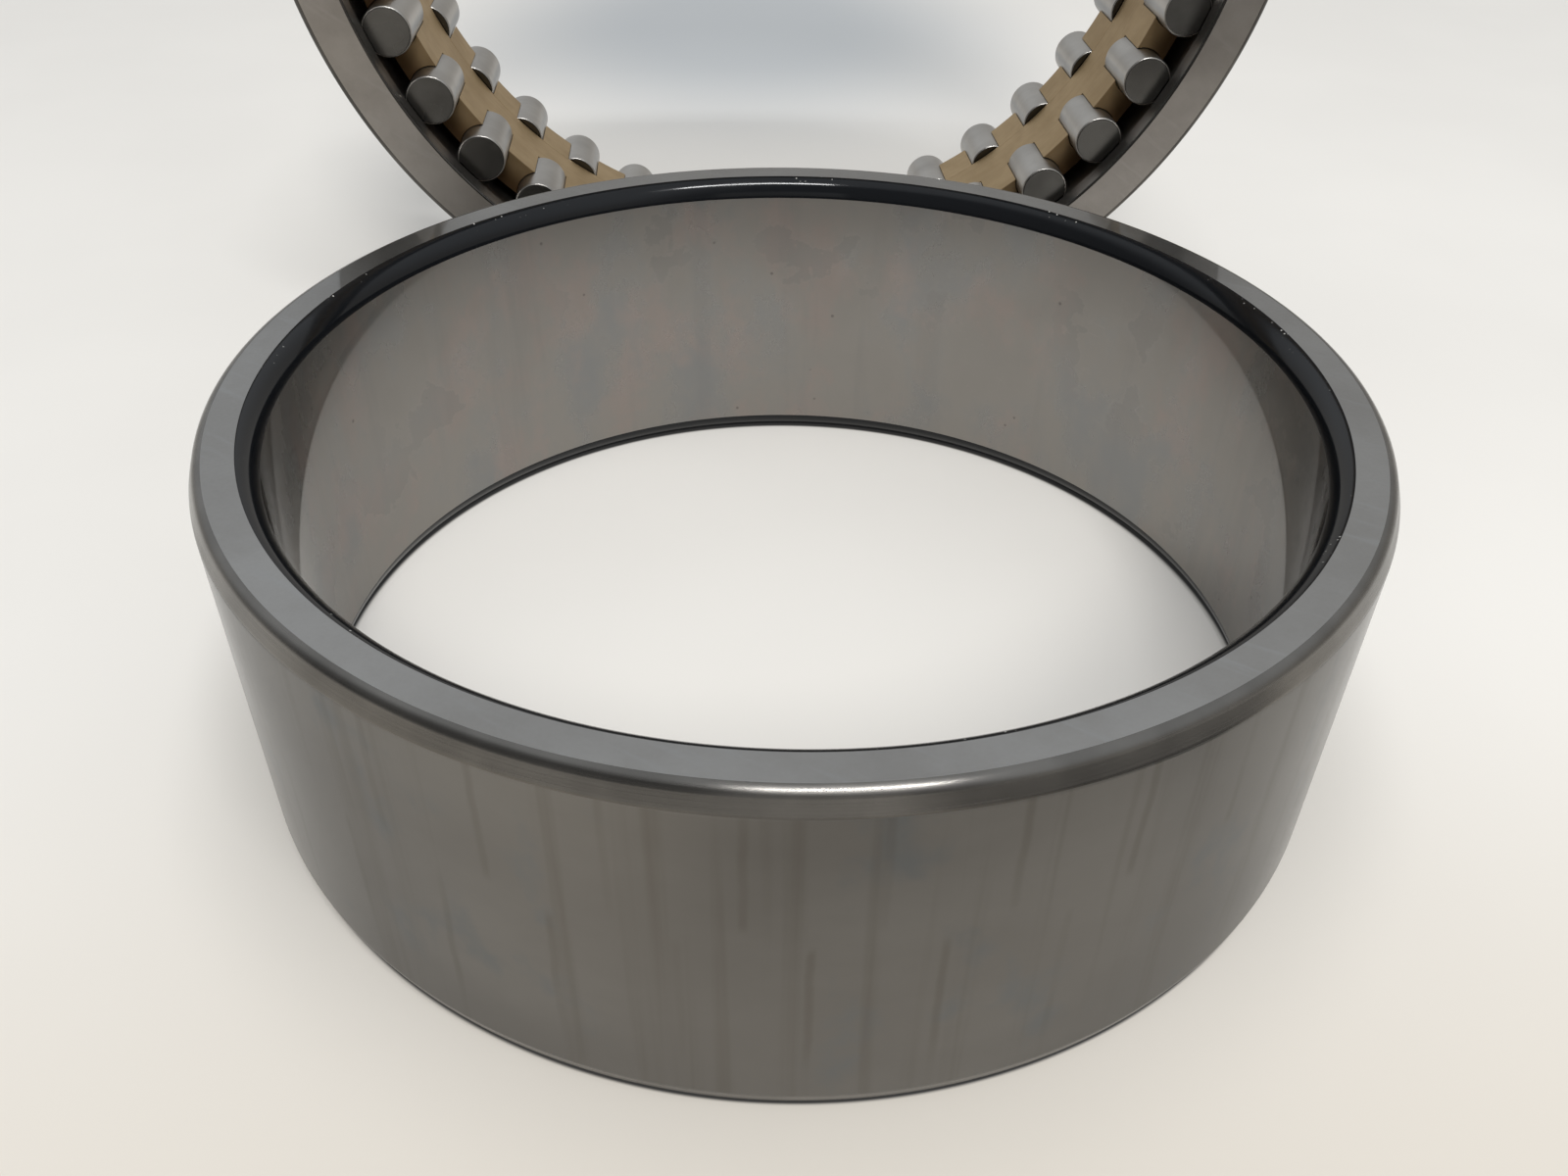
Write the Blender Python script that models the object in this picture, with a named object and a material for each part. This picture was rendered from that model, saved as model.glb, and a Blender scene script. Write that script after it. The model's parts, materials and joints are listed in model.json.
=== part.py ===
"""Double-row cylindrical roller bearing with its plain inner ring taken out.

The outer ring stands on its rim with the comb cage and both rows of rollers in
place. The inner ring lies flat in front of it. The bearing's axis runs along Y,
the inner ring's own axis is vertical, and the floor is at Z = 0.
"""

import math

import bmesh
import bpy
from mathutils import Matrix

# Rings (metres)
BORE_DIAMETER = 0.110
RING_WIDTH = 0.040
INNER_RING_WALL = 0.0065
OUTER_RING_WALL = 0.0057

# Inner ring
BORE_CORNER_RADIAL = 0.00185
BORE_CORNER_AXIAL = 0.00245
LEAD_BEVEL_RADIAL = 0.0008
LEAD_BEVEL_AXIAL = 0.0022

# Outer ring
OUTER_CORNER = 0.0010
FLANGE_HEIGHT = 0.0011
FLANGE_LEAD_IN = 0.0003
END_FLANGE_WIDTH = 0.0033
RELIEF_WIDTH = 0.0008
RELIEF_DEPTH = 0.0003

# Lubrication groove and holes round the outer ring's middle
OIL_GROOVE_WIDTH = 0.0060
OIL_GROOVE_DEPTH = 0.0012
OIL_HOLE_DIAMETER = 0.0030
OIL_HOLES = 3

# Rollers
ROLLER_DIAMETER = 0.0075
ROLLER_LENGTH = 0.0120
ROLLER_CORNER = 0.0003
ROLLERS_PER_ROW = 36
FIRST_ROLLER_ANGLE = math.radians(-48.9)

# Comb cage
CAGE_BORE_CLEARANCE = 0.0012
CAGE_GUIDE_CLEARANCE = 0.0005
PRONG_LENGTH = 0.0075
PRONG_TIP_CHAMFER = 0.0003

# Clearances
RUNNING_GAP = 0.0003
ROLLER_SIDE_GAP = 0.0003
POCKET_GAP = 0.0003

# Where the taken-out inner ring lies
INNER_RING_SIDESTEP = -0.0052
FLOOR_GAP_BETWEEN_RINGS = 0.0214

# Facets
RING_SEGMENTS = 56
CAGE_SEGMENTS = 2 * ROLLERS_PER_ROW
ROLLER_SIDES = 14
CARRIED_ROLLER_SIDES = 12
POCKET_SIDES = 16
HOLE_SIDES = 12
CORNER_STEPS = 3
OVERCUT = 0.0010

# Derived sizes
BORE_RADIUS = BORE_DIAMETER / 2
ROLLER_RADIUS = ROLLER_DIAMETER / 2
INNER_RACEWAY_RADIUS = BORE_RADIUS + INNER_RING_WALL
PITCH_RADIUS = INNER_RACEWAY_RADIUS + ROLLER_RADIUS
OUTER_RACEWAY_RADIUS = PITCH_RADIUS + ROLLER_RADIUS + RUNNING_GAP
OUTSIDE_RADIUS = OUTER_RACEWAY_RADIUS + OUTER_RING_WALL
FLANGE_BORE_RADIUS = OUTER_RACEWAY_RADIUS - FLANGE_HEIGHT
ROLLER_TRACK_WIDTH = ROLLER_LENGTH + 2 * ROLLER_SIDE_GAP
MIDDLE_FLANGE_HALF = RING_WIDTH / 2 - END_FLANGE_WIDTH - ROLLER_TRACK_WIDTH
ROLLER_OFFSET = MIDDLE_FLANGE_HALF + ROLLER_SIDE_GAP + ROLLER_LENGTH / 2
CAGE_BORE_RADIUS = INNER_RACEWAY_RADIUS + CAGE_BORE_CLEARANCE
CAGE_OUTSIDE_RADIUS = FLANGE_BORE_RADIUS - CAGE_GUIDE_CLEARANCE
CAGE_HALF_WIDTH = MIDDLE_FLANGE_HALF + PRONG_LENGTH
POCKET_RADIUS = ROLLER_RADIUS + POCKET_GAP
ROLLER_PITCH = 2 * math.pi / ROLLERS_PER_ROW

DEPTH = 2 * INNER_RACEWAY_RADIUS + FLOOR_GAP_BETWEEN_RINGS + RING_WIDTH
BEARING_CENTRE = (0.0, DEPTH / 2 - RING_WIDTH / 2, OUTSIDE_RADIUS)
INNER_RING_CENTRE = (INNER_RING_SIDESTEP, INNER_RACEWAY_RADIUS - DEPTH / 2, RING_WIDTH / 2)

# A ring is drawn about Z and laid over so that its axis runs along Y.
LAY_OVER = Matrix.Rotation(math.radians(90.0), 4, "X")


def clear_scene():
    """Remove every object that the scene starts with."""
    for old in list(bpy.data.objects):
        bpy.data.objects.remove(old, do_unlink=True)


def make_material(name, colour, roughness, metallic):
    """Return a Principled material of one plain finish."""
    finish = bpy.data.materials.new(name)
    finish.use_nodes = True
    shader = finish.node_tree.nodes["Principled BSDF"]
    shader.inputs["Base Color"].default_value = (*colour, 1.0)
    shader.inputs["Roughness"].default_value = roughness
    shader.inputs["Metallic"].default_value = metallic
    finish.diffuse_color = (*colour, 1.0)
    return finish


def make_empty(name, location):
    """Return an empty that marks a piece's axis."""
    marker = bpy.data.objects.new(name, None)
    marker.location = location
    bpy.context.scene.collection.objects.link(marker)
    return marker


def make_object(name, bm, finish=None, smooth_angle=30.0):
    """Turn a bmesh into a linked object with smooth shading up to an angle."""
    bmesh.ops.recalc_face_normals(bm, faces=bm.faces)
    mesh = bpy.data.meshes.new(name)
    bm.to_mesh(mesh)
    bm.free()
    if finish is not None:
        mesh.materials.append(finish)
    mesh.shade_smooth()
    mesh.set_sharp_from_angle(angle=math.radians(smooth_angle))
    piece = bpy.data.objects.new(name, mesh)
    bpy.context.scene.collection.objects.link(piece)
    return piece


def make_cutter(name, bm):
    """Turn a bmesh into a hidden cutter."""
    cutter = make_object(name, bm)
    cutter.hide_render = True
    cutter.display_type = "WIRE"
    return cutter


def combine(piece, other, operation):
    """Add an exact Boolean of another object to a piece."""
    modifier = piece.modifiers.new(other.name, "BOOLEAN")
    modifier.operation = operation
    modifier.object = other
    modifier.solver = "EXACT"


def turned_ring(profile, segments):
    """Return a bmesh of a closed (radius, height) profile turned about Z."""
    bm = bmesh.new()
    corners = [bm.verts.new((radius, 0.0, height)) for radius, height in profile]
    for index, corner in enumerate(corners):
        bm.edges.new((corners[index - 1], corner))
    bmesh.ops.spin(
        bm,
        geom=bm.verts[:] + bm.edges[:],
        axis=(0.0, 0.0, 1.0),
        cent=(0.0, 0.0, 0.0),
        angle=2 * math.pi,
        steps=segments,
        use_merge=True,
    )
    bmesh.ops.remove_doubles(bm, verts=bm.verts, dist=1e-6)
    return bm


def quarter_round(centre, radial, axial, start, steps=CORNER_STEPS):
    """Return the points of an elliptical quarter from an angle in quarters, counter-clockwise."""
    points = []
    for step in range(steps + 1):
        angle = (start + step / steps) * math.pi / 2
        points.append((centre[0] + radial * math.cos(angle), centre[1] + axial * math.sin(angle)))
    return points


def mirrored(half):
    """Return a half profile, drawn towards the middle plane, with its mirror image added."""
    return half + [(radius, -height) for radius, height in reversed(half)]


def outer_ring_profile():
    """Return the outer ring's section: three flanges, two relieved raceways and the oil groove."""
    top = RING_WIDTH / 2
    corner_centre = (OUTSIDE_RADIUS - OUTER_CORNER, top - OUTER_CORNER)
    groove_edge = OIL_GROOVE_WIDTH / 2
    raceway_top = MIDDLE_FLANGE_HALF + ROLLER_TRACK_WIDTH
    relief_radius = OUTER_RACEWAY_RADIUS + RELIEF_DEPTH
    rim = [(OUTSIDE_RADIUS, groove_edge)]
    rim += quarter_round(corner_centre, OUTER_CORNER, OUTER_CORNER, 0, steps=2)
    bore = [
        (FLANGE_BORE_RADIUS + FLANGE_LEAD_IN, top),
        (FLANGE_BORE_RADIUS, top - FLANGE_LEAD_IN),
        (FLANGE_BORE_RADIUS, raceway_top),
        (relief_radius, raceway_top),
        (OUTER_RACEWAY_RADIUS, raceway_top - RELIEF_WIDTH),
        (OUTER_RACEWAY_RADIUS, MIDDLE_FLANGE_HALF + RELIEF_WIDTH),
        (relief_radius, MIDDLE_FLANGE_HALF),
        (FLANGE_BORE_RADIUS, MIDDLE_FLANGE_HALF),
    ]
    groove_floor = (OUTSIDE_RADIUS - OIL_GROOVE_DEPTH, groove_edge - OIL_GROOVE_DEPTH)
    return mirrored([groove_floor] + rim + bore)


def oil_hole_cutters():
    """Return a bmesh of radial drills through the middle flange."""
    bm = bmesh.new()
    length = OUTSIDE_RADIUS - FLANGE_BORE_RADIUS + 2 * OVERCUT
    reach = (OUTSIDE_RADIUS + FLANGE_BORE_RADIUS) / 2
    for index in range(OIL_HOLES):
        angle = math.pi / 2 + index * 2 * math.pi / OIL_HOLES
        place = Matrix.Rotation(angle, 4, "Z") @ Matrix.Translation((reach, 0.0, 0.0))
        bmesh.ops.create_cone(
            bm,
            cap_ends=True,
            segments=HOLE_SIDES,
            radius1=OIL_HOLE_DIAMETER / 2,
            radius2=OIL_HOLE_DIAMETER / 2,
            depth=length,
            matrix=place @ Matrix.Rotation(math.pi / 2, 4, "Y"),
        )
    return bm


def inner_ring_profile():
    """Return the inner ring's section: plain raceway, lead-in bevels and round bore corners."""
    top = RING_WIDTH / 2
    corner_centre = (BORE_RADIUS + BORE_CORNER_RADIAL, top - BORE_CORNER_AXIAL)
    half = [
        (INNER_RACEWAY_RADIUS, top - LEAD_BEVEL_AXIAL),
        (INNER_RACEWAY_RADIUS - LEAD_BEVEL_RADIAL, top),
    ]
    half += quarter_round(corner_centre, BORE_CORNER_RADIAL, BORE_CORNER_AXIAL, 1)
    return mirrored(half)


def add_roller(bm, sides, place):
    """Add one roller about Z, with a chamfer round each end, to a bmesh."""
    shape = bmesh.ops.create_cone(
        bm,
        cap_ends=True,
        segments=sides,
        radius1=ROLLER_RADIUS,
        radius2=ROLLER_RADIUS,
        depth=ROLLER_LENGTH,
        matrix=place,
    )
    caps = {face for vert in shape["verts"] for face in vert.link_faces if len(face.verts) == sides}
    rims = list({edge for face in caps for edge in face.edges})
    bmesh.ops.bevel(bm, geom=rims, offset=ROLLER_CORNER, segments=1, affect="EDGES", profile=0.5)


def roller_place(index, row):
    """Return the matrix of a roller in the upright bearing: row is -1 in front or 1 behind."""
    stagger = 0.5 if row > 0 else 0.0
    angle = FIRST_ROLLER_ANGLE + (index + stagger) * ROLLER_PITCH
    turn = Matrix.Rotation(angle, 4, "Z")
    return turn @ Matrix.Translation((PITCH_RADIUS, 0.0, -row * ROLLER_OFFSET))


def pocket_cutters():
    """Return a bmesh of the drills for the front row's pockets, open at the prong tips."""
    bm = bmesh.new()
    depth = PRONG_LENGTH + OVERCUT
    middle = MIDDLE_FLANGE_HALF + depth / 2
    for index in range(ROLLERS_PER_ROW):
        turn = Matrix.Rotation(FIRST_ROLLER_ANGLE + index * ROLLER_PITCH, 4, "Z")
        bmesh.ops.create_cone(
            bm,
            cap_ends=True,
            segments=POCKET_SIDES,
            radius1=POCKET_RADIUS,
            radius2=POCKET_RADIUS,
            depth=depth,
            matrix=turn @ Matrix.Translation((PITCH_RADIUS, 0.0, middle)),
        )
    return bm


def cage_blank():
    """Return a bmesh of the plain brass ring that the pockets are drilled into."""
    half = [
        (CAGE_OUTSIDE_RADIUS, CAGE_HALF_WIDTH - PRONG_TIP_CHAMFER),
        (CAGE_OUTSIDE_RADIUS - PRONG_TIP_CHAMFER, CAGE_HALF_WIDTH),
        (CAGE_BORE_RADIUS + PRONG_TIP_CHAMFER, CAGE_HALF_WIDTH),
        (CAGE_BORE_RADIUS, CAGE_HALF_WIDTH - PRONG_TIP_CHAMFER),
    ]
    bm = turned_ring(mirrored(half), CAGE_SEGMENTS)
    bmesh.ops.rotate(
        bm, verts=bm.verts, cent=(0.0, 0.0, 0.0), matrix=Matrix.Rotation(FIRST_ROLLER_ANGLE, 3, "Z")
    )
    return bm


def build_outer_ring(axis, finish):
    """Build the outer ring standing on its rim."""
    bm = turned_ring(outer_ring_profile(), RING_SEGMENTS)
    ring = make_object("outer_ring", bm, finish)
    drills = make_cutter("oil_hole_drills", oil_hole_cutters())
    combine(ring, drills, "DIFFERENCE")
    for piece in (ring, drills):
        piece.parent = axis
        piece.rotation_euler = LAY_OVER.to_euler()
    return ring


def build_inner_ring(axis, finish):
    """Build the inner ring lying flat."""
    ring = make_object("inner_ring", turned_ring(inner_ring_profile(), RING_SEGMENTS), finish)
    ring.parent = axis
    return ring


def build_cage(axis, finish):
    """Build the comb cage, with the back row's rollers fused where its pockets hold them."""
    cage = make_object("cage", cage_blank(), finish)
    drills = make_cutter("pocket_drills", pocket_cutters())
    back_row = bmesh.new()
    for index in range(ROLLERS_PER_ROW):
        add_roller(back_row, CARRIED_ROLLER_SIDES, roller_place(index, 1))
    carried = make_cutter("back_row_rollers", back_row)
    combine(cage, drills, "DIFFERENCE")
    combine(cage, carried, "UNION")
    for piece in (cage, drills, carried):
        piece.parent = axis
        piece.rotation_euler = LAY_OVER.to_euler()
    return cage


def build_front_row(axis, finish):
    """Build the front row's rollers, each on its own axis."""
    bm = bmesh.new()
    add_roller(bm, ROLLER_SIDES, Matrix.Identity(4))
    pattern = make_object("roller_01", bm, finish, smooth_angle=40.0)
    rollers = [pattern]
    for index in range(1, ROLLERS_PER_ROW):
        copy = bpy.data.objects.new(f"roller_{index + 1:02d}", pattern.data)
        bpy.context.scene.collection.objects.link(copy)
        rollers.append(copy)
    for index, roller in enumerate(rollers):
        roller.parent = axis
        roller.matrix_local = LAY_OVER @ roller_place(index, -1)
    return rollers


def main():
    """Build the whole bearing."""
    clear_scene()
    ground_steel = make_material("ground_ring_steel", (0.30, 0.29, 0.28), 0.35, 0.9)
    roller_steel = make_material("roller_steel", (0.42, 0.41, 0.40), 0.25, 0.9)
    brass = make_material("machined_brass", (0.47, 0.36, 0.20), 0.55, 0.6)
    bearing_axis = make_empty("bearing_axis", BEARING_CENTRE)
    inner_ring_axis = make_empty("inner_ring_axis", INNER_RING_CENTRE)
    build_outer_ring(bearing_axis, ground_steel)
    build_cage(bearing_axis, brass)
    build_front_row(bearing_axis, roller_steel)
    build_inner_ring(inner_ring_axis, ground_steel)


main()
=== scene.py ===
"""Looks of a double-row cylindrical roller bearing with its inner ring laid out in front."""
import json
import logging
import math
from collections.abc import Callable, Sequence
from dataclasses import dataclass
from enum import Enum

import bpy
from mathutils import Matrix, Vector


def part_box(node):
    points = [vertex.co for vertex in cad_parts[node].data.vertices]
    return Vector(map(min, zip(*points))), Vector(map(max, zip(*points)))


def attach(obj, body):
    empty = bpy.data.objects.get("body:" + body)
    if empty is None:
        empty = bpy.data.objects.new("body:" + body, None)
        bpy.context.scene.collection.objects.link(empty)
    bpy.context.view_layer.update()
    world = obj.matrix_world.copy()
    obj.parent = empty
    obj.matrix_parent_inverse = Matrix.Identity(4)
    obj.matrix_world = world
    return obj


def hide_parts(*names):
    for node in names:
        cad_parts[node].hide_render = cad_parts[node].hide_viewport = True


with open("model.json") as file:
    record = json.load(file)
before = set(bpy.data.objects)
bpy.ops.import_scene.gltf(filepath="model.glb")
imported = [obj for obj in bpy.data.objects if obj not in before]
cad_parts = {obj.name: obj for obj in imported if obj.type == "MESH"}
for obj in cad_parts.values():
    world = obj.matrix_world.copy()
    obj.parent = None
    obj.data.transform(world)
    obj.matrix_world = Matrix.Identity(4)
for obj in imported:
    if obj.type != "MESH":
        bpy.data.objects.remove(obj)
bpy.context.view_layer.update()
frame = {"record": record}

Material = bpy.types.Material
Piece = bpy.types.Object
Socket = bpy.types.NodeSocket
Colour = tuple[float, float, float]
Place = tuple[float, float, float]
Scale = tuple[float, float, float]
Point = tuple[float, float]
Range = tuple[float, float]
Band = tuple[float, float, float, float]
# What a node's input takes: another node's output, or a plain value or colour.
Value = Socket | float
Tint = Socket | Colour

LOG = logging.getLogger("bearing")
MM = 0.001
ORIGIN = (0.0, 0.0, 0.0)
UP = (0.0, 0.0, 1.0)
# Points closer than this are merged, and SLACK is how far off a limit still counts as on it.
WELD = 1e-7
SLACK = WELD * 10
# A face's normal has more than this share along the axis when the face is flat across it.
FLAT = 0.999
# How far the large flat faces lead when normals are averaged: 50 is even and 100 is the most.
FLATS_FIRST = 100
# The refractive index of a thin film of oil.
OIL_IOR = 1.47
# The quarter turn that lays stretched reflections across lines that run round an axis.
ACROSS_LINES = 0.25
# Where the laid ring's first roller mark is, in degrees.
MARK_ANGLE = -97.1
# From the point on the floor under the laid ring's middle to the camera, in millimetres.
EYE_FROM_RING = (-10.31, -125.44, 108.95)


class Side(Enum):
    """Which end of a turned piece something is on, as a sign along its own axis."""

    FRONT = 1
    BACK = -1


class Kind(Enum):
    """What is picked on a mesh: the select mode that shows it and the mesh's own list of it."""

    POINT = ("VERT", "vertices")
    EDGE = ("EDGE", "edges")
    FACE = ("FACE", "polygons")


@dataclass(frozen=True)
class Axis:
    """The line that a piece is turned about, with the piece's front towards its direction."""

    centre: Vector
    direction: Vector

    def letter(self) -> str:
        """Return the name of the frame's axis that the line runs along."""
        return "Z" if self.direction.z > 0.5 else "Y"

    def turn(self) -> Matrix:
        """Work out the rotation that lays +Z along the direction.

        Returns:
            The identity for a piece that lies flat, or a quarter turn about X.
        """
        if self.letter() == "Z":
            return Matrix.Identity(4)
        return Matrix.Rotation(math.pi / 2, 4, "X")

    def matrix(self) -> Matrix:
        """Return the matrix from the piece's own turning space to the frame."""
        return Matrix.Translation(self.centre) @ self.turn()


def joints() -> list[dict]:
    """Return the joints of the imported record."""
    return frame["record"]["behaviour"]["joints"]


def joint_place(name: str) -> Vector:
    """Return the place of a joint by its name."""
    return Vector(next(entry for entry in joints() if entry["name"] == name)["pos_m"])


def spread(node: str) -> Vector:
    """Return the size of a CAD node's box along each axis."""
    low, high = (Vector(corner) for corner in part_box(node))
    return high - low


def around(radius: float, angle: float) -> Vector:
    """Return the point at a radius and an angle about Z."""
    return Vector((radius * math.cos(angle), radius * math.sin(angle), 0.0))


def enter(mode: str) -> None:
    """Put the active piece in a mode: EDIT or OBJECT."""
    bpy.ops.object.mode_set(mode=mode)


def select_all() -> None:
    """Select the whole mesh of the piece in edit mode."""
    bpy.ops.mesh.select_all(action="SELECT")


def deselect_all() -> None:
    """Leave every object unselected, in object mode."""
    if bpy.context.object and bpy.context.object.mode != "OBJECT":
        enter("OBJECT")
    bpy.ops.object.select_all(action="DESELECT")


def activate(piece: Piece) -> None:
    """Make one piece the only selected and active object.

    Args:
        piece: The object.
    """
    deselect_all()
    piece.select_set(True)
    bpy.context.view_layer.objects.active = piece


def pick(piece: Piece, kind: Kind, test: Callable) -> None:
    """Select what passes a test on the active piece, and stay in edit mode.

    Args:
        piece: The active object.
        kind: Whether points, edges or faces are picked.
        test: Takes one of them, and says whether it is picked.
    """
    mode, list_name = kind.value
    enter("EDIT")
    bpy.ops.mesh.select_mode(type=mode)
    bpy.ops.mesh.select_all(action="DESELECT")
    enter("OBJECT")
    for item in getattr(piece.data, list_name):
        item.select = test(item)
    enter("EDIT")


def place(piece: Piece, matrix: Matrix) -> None:
    """Move a piece and bake the move into its mesh.

    Args:
        piece: The object, whose own matrix is the identity.
        matrix: Where its turning space lies in the frame.
    """
    activate(piece)
    piece.matrix_world = matrix
    bpy.ops.object.transform_apply(location=True, rotation=True, scale=True)


def apply_boolean(piece: Piece, other: Piece, operation: str) -> None:
    """Combine a piece with another closed mesh and remove the other.

    Args:
        piece: The object that stays.
        other: The object that is added or cut away.
        operation: UNION or DIFFERENCE.
    """
    activate(piece)
    modifier = piece.modifiers.new("combine", "BOOLEAN")
    modifier.operation = operation
    modifier.solver = "EXACT"
    modifier.object = other
    bpy.ops.object.modifier_apply(modifier=modifier.name)
    bpy.data.objects.remove(other, do_unlink=True)


def smooth(piece: Piece, degrees: float) -> None:
    """Shade a piece smooth over its rounds, and keep its flats flat.

    Args:
        piece: The object.
        degrees: Faces that meet at less than this angle are shaded as one.
    """
    activate(piece)
    bpy.ops.object.shade_smooth_by_angle(angle=math.radians(degrees))
    modifier = piece.modifiers.new("flats", "WEIGHTED_NORMAL")
    modifier.keep_sharp = True
    modifier.weight = FLATS_FIRST
    bpy.ops.object.modifier_apply(modifier=modifier.name)


def dress(piece: Piece, zones: list[tuple["Finish", Callable | None]]) -> None:
    """Give a piece its finishes by zone.

    Args:
        piece: The object, still in its turning space.
        zones: Pairs of a finish and a test on a face, later ones laid over earlier ones.
            A test takes the face's centre and normal, and None means every face.
    """
    activate(piece)
    for slot, (finish, test) in enumerate(zones):
        piece.data.materials.append(finish.build())
        piece.active_material_index = slot
        pick(piece, Kind.FACE, lambda face: test is None or test(face.center, face.normal))
        bpy.ops.object.material_slot_assign()
        enter("OBJECT")


def section(points: list[Point]) -> list[Vector]:
    """Return (radius, height) pairs as points in the plane that a ring is turned from."""
    return [Vector((radius, 0.0, height)) for radius, height in points]


def mirrored(half: list[Point]) -> list[Point]:
    """Return the upper half of a section followed by its mirror image below the middle."""
    return half + [(radius, -height) for radius, height in reversed(half)]


class Outline:
    """A closed line drawn point by point in edit mode, then turned or extruded."""

    def __init__(self, name: str, points: list[Vector]) -> None:
        """Draw the outline.

        Args:
            name: The name of the object that it becomes.
            points: Its corners in order, in metres.
        """
        deselect_all()
        bpy.ops.mesh.primitive_plane_add(size=MM, location=points[0])
        self.piece = bpy.context.object
        self.piece.name = name
        self.piece.data.name = name
        bpy.ops.object.transform_apply(location=True)
        enter("EDIT")
        bpy.ops.mesh.select_mode(type="VERT")
        select_all()
        bpy.ops.mesh.merge(type="CENTER")
        for before, after in zip(points, points[1:] + points[:1]):
            step = {"value": after - before}
            bpy.ops.mesh.extrude_region_move(TRANSFORM_OT_translate=step)
        select_all()
        bpy.ops.mesh.remove_doubles(threshold=WELD)
        enter("OBJECT")

    def round_corners(self, corners: list[tuple[Point, float, int]]) -> None:
        """Round corners of a mirrored section, above and below its middle.

        Args:
            corners: For each, its radius and height, how far the rounding reaches along each
                side, and the number of pieces of its arc.
        """
        for side in Side:
            for (radius, height), reach, segments in corners:
                corner = Vector((radius, 0.0, side.value * height))
                pick(self.piece, Kind.POINT, lambda point: (point.co - corner).length < SLACK * 10)
                bpy.ops.mesh.bevel(offset=reach, segments=segments, affect="VERTICES", profile=0.5)
                enter("OBJECT")

    def turn(self, steps: int) -> Piece:
        """Turn the outline all the way round Z.

        Args:
            steps: The number of facets round the turned piece.

        Returns:
            The closed turned piece.
        """
        enter("EDIT")
        select_all()
        bpy.ops.mesh.spin(steps=steps, angle=2 * math.pi, center=ORIGIN, axis=UP, use_auto_merge=True)
        select_all()
        bpy.ops.mesh.remove_doubles(threshold=SLACK)
        return self.face_outwards()

    def extrude(self, rise: float) -> Piece:
        """Fill the outline and extrude it along Z.

        Args:
            rise: How far it is extruded.

        Returns:
            The closed prism.
        """
        enter("EDIT")
        select_all()
        bpy.ops.mesh.edge_face_add()
        bpy.ops.mesh.extrude_region_move(TRANSFORM_OT_translate={"value": (0.0, 0.0, rise)})
        select_all()
        return self.face_outwards()

    def face_outwards(self) -> Piece:
        """Turn the selected faces outwards and leave edit mode.

        Returns:
            The piece.
        """
        bpy.ops.mesh.normals_make_consistent(inside=False)
        enter("OBJECT")
        return self.piece


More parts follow.
